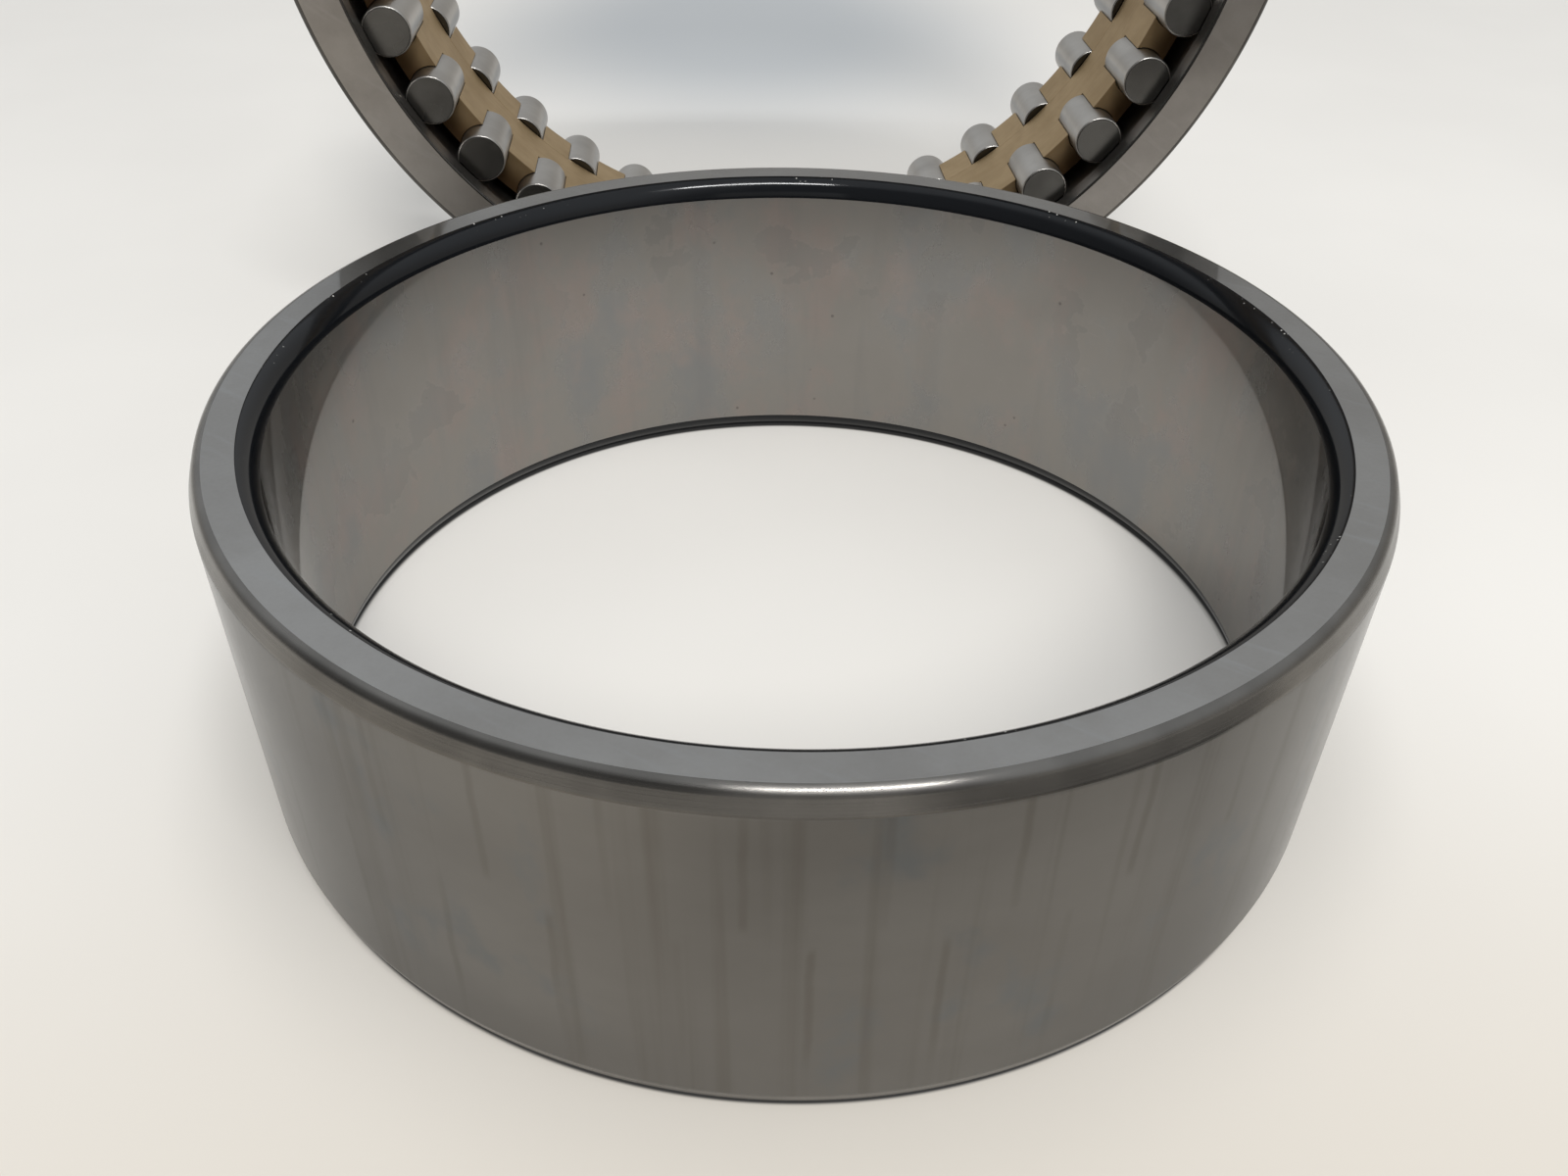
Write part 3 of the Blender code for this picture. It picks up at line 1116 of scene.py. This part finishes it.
@dataclass
class RollerSet:
    """Both rows of rollers."""

    axis: Axis
    radius: float = 3.75 * MM
    length: float = 12.0 * MM
    corner: float = 0.35 * MM
    corner_steps: int = 4
    # The ends' painted shade covers faces with more than this share of their normal along the axis.
    end_share: float = 0.95
    sides: int = 64
    smooth_angle: float = 24.0

    def spins(self) -> list[tuple[str, str, Vector]]:
        """List the rollers that turn on joints of their own, which are the front row's.

        Returns:
            The name, body and place of each, in the order of their numbers.
        """
        return sorted(
            (entry["name"], entry["child"], Vector(entry["pos_m"]))
            for entry in joints()
            if entry["name"].startswith("roller_")
        )

    def count(self) -> int:
        """Return the number of rollers in a row."""
        return len(self.spins())

    def pattern(self) -> Piece:
        """Model one roller about Z and dress it.

        Returns:
            The roller that the others are copied from.
        """
        deselect_all()
        bpy.ops.mesh.primitive_cylinder_add(vertices=self.sides, radius=self.radius, depth=self.length)
        roller = bpy.context.object
        pick(roller, Kind.FACE, lambda face: abs(face.normal.z) > FLAT)
        bpy.ops.mesh.region_to_loop()
        bpy.ops.mesh.bevel(offset=self.corner, segments=self.corner_steps, affect="EDGES", profile=0.5)
        enter("OBJECT")
        side = PlainSteel(
            "roller_side_finish", self.axis,
            light=(0.455, 0.438, 0.412), dark=(0.375, 0.358, 0.336), roughness=(0.29, 0.40),
        )
        # The ends are painted much darker than the sides, as painted shade.
        end = PlainSteel(
            "roller_end_finish", self.axis,
            light=(0.122, 0.119, 0.113), dark=(0.088, 0.085, 0.080), roughness=(0.21, 0.32),
        )
        dress(roller, [(side, None), (end, lambda centre, normal: abs(normal.z) > self.end_share)])
        smooth(roller, self.smooth_angle)
        return roller

    def build(self) -> list[Piece]:
        """Copy the pattern to the place of every roller.

        Returns:
            Every roller, the front row first.
        """
        pattern = self.pattern()
        centres = self.spins()
        made = []
        for row in Side:
            for index, (_, body, centre) in enumerate(centres):
                own = self.axis.matrix().inverted() @ centre
                if row is Side.BACK:
                    own.z = -own.z
                    own = Matrix.Rotation(math.pi / len(centres), 4, "Z") @ own
                activate(pattern)
                bpy.ops.object.duplicate(linked=False)
                roller = bpy.context.object
                roller.name = f"{row.name.lower()}_roller_{index + 1:02d}"
                angle = math.atan2(own.y, own.x)
                place(roller, self.axis.matrix() @ Matrix.Translation(own) @ Matrix.Rotation(angle, 4, "Z"))
                if row is Side.FRONT:
                    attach(roller, body)
                    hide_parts(body)
                else:
                    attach(roller, "cage")
                made.append(roller)
        bpy.data.objects.remove(pattern, do_unlink=True)
        return made


@dataclass
class CombCage:
    """The one-piece brass cage: a web with a comb of prongs on each side."""

    axis: Axis
    first: float
    pockets: int
    pitch_radius: float
    roller_radius: float
    bore: float = 62.7 * MM
    outside: float = 67.6 * MM
    web: float = 8.2 * MM
    prong: float = 7.5 * MM
    pocket_gap: float = 0.10 * MM
    edge: float = 0.12 * MM
    edge_steps: int = 2
    sink: float = 0.3 * MM
    shy: float = 0.02 * MM
    wall_steps: int = 12
    arc_steps: int = 5
    facets_per_pocket: int = 8
    smooth_angle: float = 30.0

    def half_pitch(self) -> float:
        """Return the angle from the middle of a prong to the middle of a pocket."""
        return math.pi / self.pockets

    def pocket(self) -> float:
        """Return the radius of a pocket's wall."""
        return self.roller_radius + self.pocket_gap

    def prong_half(self, radius: float) -> float:
        """Work out how thick a prong is at a radius.

        Args:
            radius: The radius, in metres.

        Returns:
            The angle from the middle of the prong to its wall.
        """
        pitch = self.pitch_radius
        crossing = math.acos((pitch ** 2 + radius ** 2 - self.pocket() ** 2) / (2 * pitch * radius))
        return self.half_pitch() - crossing

    def wall(self, side: int) -> list[Vector]:
        """Draw a pocket's wall from the cage's bore to its outside.

        Args:
            side: 1 for the wall above a prong's middle line, and -1 for the one below it.

        Returns:
            The points of the wall.
        """
        centre = around(self.pitch_radius, self.half_pitch())
        ends = []
        for radius in (self.bore, self.outside):
            point = around(radius, self.prong_half(radius))
            ends.append(math.atan2(point.y - centre.y, point.x - centre.x) % (2 * math.pi))
        points = []
        for step in range(self.wall_steps + 1):
            angle = ends[0] + (ends[1] - ends[0]) * step / self.wall_steps
            x = centre.x + self.pocket() * math.cos(angle)
            y = centre.y + self.pocket() * math.sin(angle)
            points.append(Vector((x, side * y, 0.0)))
        return points

    def arc(self, radius: float, start: float, end: float) -> list[Vector]:
        """Return the points between the ends of an arc, without the ends."""
        steps = range(1, self.arc_steps)
        return [around(radius, start + (end - start) * step / self.arc_steps) for step in steps]

    def prong_outline(self) -> list[Vector]:
        """Draw a prong's section between two pockets, centred on angle zero.

        Returns:
            Its corners in order.
        """
        inner = self.prong_half(self.bore)
        outer = self.prong_half(self.outside)
        points = self.wall(1)
        points += self.arc(self.outside, outer, -outer)
        points += reversed(self.wall(-1))
        points += self.arc(self.bore, -inner, inner)
        return points

    def prongs(self, side: Side) -> Piece:
        """Build the comb of prongs on one side of the web.

        Args:
            side: Which side of the web it stands on.

        Returns:
            The prongs as one piece, in the cage's turning space.
        """
        tip = self.prong + self.sink
        prong = Outline(f"prongs_{side.name.lower()}", self.prong_outline()).extrude(tip)
        activate(prong)
        points = prong.data.vertices
        pick(prong, Kind.EDGE, lambda edge: all(points[end].co.z > tip - WELD for end in edge.vertices))
        bpy.ops.mesh.bevel(
            offset=self.edge, segments=self.edge_steps, affect="EDGES", profile=0.5, clamp_overlap=True
        )
        select_all()
        steps = self.pockets - 1
        turn = 2 * math.pi * steps / self.pockets
        bpy.ops.mesh.spin(steps=steps, dupli=True, angle=turn, center=ORIGIN, axis=UP, use_auto_merge=False)
        enter("OBJECT")
        start = self.first + self.half_pitch()
        if side is Side.BACK:
            start -= self.half_pitch()
        matrix = Matrix.Rotation(start, 4, "Z") @ Matrix.Translation((0.0, 0.0, self.web / 2 - self.sink))
        if side is Side.BACK:
            matrix = Matrix.Rotation(math.pi, 4, "X") @ Matrix.Rotation(-2 * start, 4, "Z") @ matrix
        place(prong, matrix)
        return prong

    def build(self) -> Piece:
        """Turn the web, join both combs to it and dress the cage.

        Returns:
            The finished cage.
        """
        half = self.web / 2
        bore = self.bore + self.shy
        outside = self.outside - self.shy
        web = [(bore, half), (bore, -half), (outside, -half), (outside, half)]
        cage = Outline("comb_cage", section(web)).turn(self.pockets * self.facets_per_pocket)
        for side in Side:
            apply_boolean(cage, self.prongs(side), "UNION")
        dress(cage, [(MachinedBrass("machined_brass", self.axis, half + self.prong), None)])
        place(cage, self.axis.matrix())
        smooth(cage, self.smooth_angle)
        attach(cage, "cage")
        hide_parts("cage")
        return cage


@dataclass(frozen=True)
class FloorFinish:
    """The pale floor, with painted shade: a darker, warmer front, soft shadows behind and beside the rings
    and a shadow line under the laid ring, and flags for gloss.

    A range is given from where a tint starts to where it is full, in metres. A flag is painted
    shade, a dark patch that only gloss shows, as a dark card beside the camera would.
    """

    name: str
    foot: Vector
    colour: Colour
    glow: float = 0.22
    glow_range: Range = (0.28, 0.52)
    middle: Place = (0.0, 0.10, 0.0)
    cloud_dim: float = 0.97
    roughness: float = 0.6
    # Painted shade: the front of the floor is painted darker and warmer than the rest.
    warm: Colour = (0.640, 0.592, 0.520)
    warm_front: Range = (-0.02, -0.14)
    warm_within: Range = (0.42, 0.26)
    # Painted shadow: the rings' soft, cool shadow on the floor behind them.
    shade: Colour = (0.490, 0.510, 0.525)
    shade_middle: float = 0.250
    shade_reach: Point = (0.105, 0.125)
    # Painted shadow: the soft shade on the floor beside the laid ring, deeper towards the back.
    beside: Colour = (0.393, 0.380, 0.355)
    beside_reach: float = 15.0 * MM
    beside_front: Range = (-0.095, -0.050)
    beside_weights: Range = (0.17, 0.44)
    # Painted shadow: the dark line on the floor under the laid ring's edges.
    painted_contact_shadow: Colour = (0.07, 0.07, 0.07)
    foot_inside: float = 56.05 * MM
    foot_outside: float = 60.7 * MM
    inside_blur: float = 0.6 * MM
    outside_blur: float = 0.4 * MM
    # Painted shade that only gloss shows: the colour of the flags.
    flag: Colour = (0.06, 0.06, 0.06)
    flag_fade: Range = (-0.55, -0.45)
    near_band: Band = (-0.098, -0.124, -0.20, -0.26)
    near_middle: float = 0.018
    near_half: Range = (0.030, 0.080)
    near_weight: float = 0.45
    right_band: Band = (0.060, 0.068, 0.16, 0.27)
    right_front: Range = (-0.088, -0.104)
    left_band: Band = (-0.088, -0.096, -0.105, -0.135)
    left_front: Range = (-0.12, -0.16)
    left_weight: float = 0.35

    def tinted(self, sheet: Sheet, place: Socket, y: Socket, far: Socket) -> Socket:
        """Colour the floor with painted shade: its darker, warmer front and the cool shadow behind the rings.

        Args:
            sheet: The material.
            place: Each point's place on the floor.
            y: How far back it is.
            far: How far it is from the middle of the scene.

        Returns:
            The colour.
        """
        dim = tuple(self.cloud_dim * channel for channel in self.colour)
        colour = sheet.cover(dim, self.colour, sheet.noise(place, scale=14.0, detail=3.0), low=0.3, high=0.7)
        # Painted shade: the front is painted darker and warmer.
        front = sheet.times(sheet.remap(y, *self.warm_front), sheet.remap(far, *self.warm_within))
        colour = sheet.blend(front, colour, self.warm)
        # Painted shadow: a cool oval of shade on the floor behind the rings.
        wide, deep = self.shade_reach
        oval = sheet.stretch(place, (1.0 / wide, 1.0 / deep, 0.0))
        behind = sheet.distance(oval, (0.0, self.shade_middle / deep, 0.0))
        return sheet.cover(colour, self.shade, behind, low=1.0, high=0.25)

    def grounded(self, sheet: Sheet, place: Socket, y: Socket, colour: Socket) -> Socket:
        """Paint the soft shadow beside the laid ring and the dark shadow line under its edges.

        Args:
            sheet: The material.
            place: Each point's place on the floor.
            y: How far back it is.
            colour: The floor's colour so far.

        Returns:
            The colour with both.
        """
        # Painted shadow beside the laid ring, fading outwards from its foot.
        step = sheet.distance(place, (self.foot.x, self.foot.y, 0.0))
        beyond = sheet.remap(step, self.foot_inside, self.foot_outside)
        painted_beside_shade = sheet.remap(step, self.foot_outside + self.beside_reach, self.foot_outside)
        weight = sheet.remap(y, *self.beside_front, *self.beside_weights)
        colour = sheet.blend(sheet.times(beyond, painted_beside_shade, weight), colour, self.beside)
        # Painted shadow: the dark line under the ring's edges.
        inside = sheet.remap(step, self.foot_inside - self.inside_blur, self.foot_inside)
        outside = sheet.remap(step, self.foot_outside + self.outside_blur, self.foot_outside)
        return sheet.blend(sheet.times(inside, outside), colour, self.painted_contact_shadow)

    def flags(self, sheet: Sheet, x: Socket, y: Socket) -> Socket:
        """Paint the flags: shade that only gloss shows.

        Args:
            sheet: The material.
            x: How far to the right each point is.
            y: How far back it is.

        Returns:
            1 in the middle of a full flag and 0 outside.
        """
        # Painted shade for gloss: a patch in front, and patches to the right and left.
        aside = sheet.unsigned(sheet.minus(x, self.near_middle))
        middle = sheet.remap(aside, *self.near_half, self.near_weight, 0.0)
        near = sheet.times(sheet.band(y, *self.near_band), middle)
        right = sheet.times(sheet.band(x, *self.right_band), sheet.remap(y, *self.right_front))
        left = sheet.times(sheet.band(x, *self.left_band), sheet.remap(y, *self.left_front), self.left_weight)
        return sheet.plus(near, sheet.times(sheet.remap(y, *self.flag_fade), sheet.plus(left, right)))

    def build(self) -> Material:
        """Wire the floor, which shows part of its colour by itself so that shadows stay light.

        Returns:
            The finished material.
        """
        sheet = Sheet(self.name)
        place = sheet.coordinates()
        x, y, _ = sheet.split(place)
        far = sheet.distance(place, self.middle)
        colour = self.grounded(sheet, place, y, self.tinted(sheet, place, y, far))
        # Painted shade: the flags darken the floor only where gloss shows it.
        colour = sheet.blend(sheet.times(self.flags(sheet, x, y), sheet.ray("Glossy")), colour, self.flag)
        material = sheet.surface(colour, self.roughness, 0.0)
        glow = sheet.node("ShaderNodeEmission", {"Color": colour})
        factor = sheet.times(sheet.seen(), sheet.remap(far, *self.glow_range, self.glow, 1.0))
        output = sheet.tree.nodes["Material Output"]
        sheet.feed_all(output, {"Surface": sheet.mix(factor, sheet.shader.outputs[0], glow.outputs[0])})
        return material


@dataclass
class Studio:
    """Floor, light and camera."""

    eye: Vector
    foot: Vector
    heading: float = 4.31
    pitch: float = 37.93
    roll: float = 0.96
    lens: float = 30.45
    sensor: float = 36.0
    near_clip: float = 0.005
    floor_size: float = 8.0
    floor_colour: Colour = (0.786, 0.767, 0.731)
    lamp_power: float = 6.6
    lamp_size: tuple[float, float] = (0.48, 0.08)
    lamp_place: Place = (0.10, -0.45, 1.15)
    window_power: float = 10.2
    window_size: float = 0.34
    window_place: Place = (0.10, -1.05, 1.0)
    window_aim: Place = (0.0, 0.07, 0.0)
    window_tint: Colour = (1.0, 0.965, 0.915)
    zenith: Colour = (0.72, 0.750, 0.78)
    horizon: Colour = (0.45, 0.435, 0.41)
    shade: Colour = (0.16, 0.16, 0.16)
    sky_rise: Range = (0.15, 0.75)
    left_side: Range = (0.05, -0.35)
    left_lift: float = 0.22
    shade_lean: float = 0.8
    shade_rise: Range = (0.15, 0.75)
    shade_top: Range = (0.84, 0.97)
    gap_slope: float = -0.28
    gap_edge: Range = (-0.02, 0.02)
    gap_top: Range = (0.32, 0.50)
    gap_weight: float = 0.8

    def build(self) -> None:
        """Set up the floor, the lamp, the window, the world and the camera."""
        self.floor()
        self.lamp()
        self.window()
        self.world()
        self.camera()

    def floor(self) -> None:
        """Add the pale floor."""
        deselect_all()
        bpy.ops.mesh.primitive_plane_add(size=self.floor_size, location=ORIGIN)
        floor = bpy.context.object
        floor.name = "floor"
        floor.data.materials.append(FloorFinish("pale_floor", self.foot, self.floor_colour).build())

    def hang(self, name: str, power: float, spot: Place) -> tuple[bpy.types.Light, Piece]:
        """Add an area light.

        Args:
            name: Its name.
            power: Its power, in watts.
            spot: Where it hangs.

        Returns:
            The light and the object that holds it.
        """
        light = bpy.data.lights.new(name, "AREA")
        light.energy = power
        holder = bpy.data.objects.new(name, light)
        holder.location = spot
        bpy.context.scene.collection.objects.link(holder)
        return light, holder

    def lamp(self) -> None:
        """Hang one long soft lamp overhead."""
        light, _ = self.hang("overhead_strip", self.lamp_power, self.lamp_place)
        light.shape = "RECTANGLE"
        light.size, light.size_y = self.lamp_size

    def window(self) -> None:
        """Add the soft light from the front that lays the rings' shadows on the floor behind them."""
        light, holder = self.hang("front_window", self.window_power, self.window_place)
        light.color = self.window_tint
        light.size = self.window_size
        aim = Vector(self.window_aim) - Vector(self.window_place)
        holder.rotation_euler = aim.to_track_quat("-Z", "Y").to_euler()
        holder.visible_glossy = False

    def sky(self, wiring: Wiring) -> Socket:
        """Colour the surroundings in each direction.

        Args:
            wiring: The world's node tree.

        Returns:
            The colour.
        """
        x, y, z = wiring.split(wiring.node("ShaderNodeTexCoord").outputs["Generated"])
        lift = wiring.plus(z, wiring.remap(x, *self.left_side, 0.0, self.left_lift))
        sky = wiring.cover(self.horizon, self.zenith, lift, *self.sky_rise)
        leaning = wiring.times(wiring.plus(y, wiring.times(x, self.shade_lean)), -1.0)
        low = wiring.remap(z, *self.shade_top, 1.0, 0.0)
        beside = wiring.minus(wiring.unsigned(x), wiring.times(y, self.gap_slope))
        gap = wiring.remap(beside, *self.gap_edge, self.gap_weight, 0.0)
        gap = wiring.times(gap, wiring.remap(z, *self.gap_top, 1.0, 0.0))
        dark = wiring.times(wiring.remap(leaning, *self.shade_rise), low, wiring.minus(1.0, gap))
        return wiring.blend(dark, sky, self.shade)

    def world(self) -> None:
        """Add the surroundings: pale above, duller round the horizon and dark behind the camera."""
        world = bpy.data.worlds.new("pale_surroundings")
        bpy.context.scene.world = world
        world.use_nodes = True
        wiring = Wiring(world.node_tree)
        around_all = world.node_tree.nodes["Background"]
        wiring.feed_all(around_all, {"Color": self.sky(wiring)})
        backdrop = wiring.node("ShaderNodeBackground", {"Color": (*self.floor_colour, 1.0)})
        both = wiring.mix(wiring.ray("Camera"), around_all.outputs[0], backdrop.outputs[0])
        wiring.feed_all(world.node_tree.nodes["World Output"], {"Surface": both})

    def camera(self) -> None:
        """Add the camera at its measured place and direction."""
        camera = bpy.data.cameras.new("camera")
        camera.lens = self.lens
        camera.sensor_width = self.sensor
        camera.clip_start = self.near_clip
        holder = bpy.data.objects.new("camera", camera)
        turn = Matrix.Rotation(-math.radians(self.heading), 4, "Z")
        turn @= Matrix.Rotation(math.radians(90.0 - self.pitch), 4, "X")
        turn @= Matrix.Rotation(math.radians(self.roll), 4, "Z")
        holder.matrix_world = Matrix.Translation(self.eye) @ turn
        bpy.context.scene.collection.objects.link(holder)
        bpy.context.scene.camera = holder


def report(piece: Piece) -> None:
    """Log a finished piece."""
    LOG.info("%s: %d faces", piece.name, len(piece.data.polygons))


def main() -> None:
    """Build the bearing and its studio."""
    logging.basicConfig(level=logging.INFO, format="%(name)s: %(message)s")
    bearing = Axis(joint_place("cage_turn"), Vector((0.0, -1.0, 0.0)))
    laid = Axis(joint_place("inner_ring_turn"), Vector((0.0, 0.0, 1.0)))
    inner = spread("inner_ring") / 2
    outer = spread("outer_ring") / 2
    rollers = RollerSet(bearing)

    report(InnerRing(laid, inner.x, inner.z, rollers.count(), math.radians(MARK_ANGLE)).build())
    report(OuterRing(bearing, outer.x, outer.y).build())
    for roller in rollers.build():
        report(roller)
    first = bearing.matrix().inverted() @ joint_place("roller_01_spin")
    report(CombCage(
        bearing,
        first=math.atan2(first.y, first.x),
        pockets=rollers.count(),
        pitch_radius=first.xy.length,
        roller_radius=rollers.radius,
    ).build())

    bpy.context.scene.view_settings.view_transform = "Standard"
    eye = Vector((laid.centre.x, laid.centre.y, 0.0)) + Vector(EYE_FROM_RING) * MM
    Studio(eye, laid.centre).build()


if __name__ == "__main__":
    main()
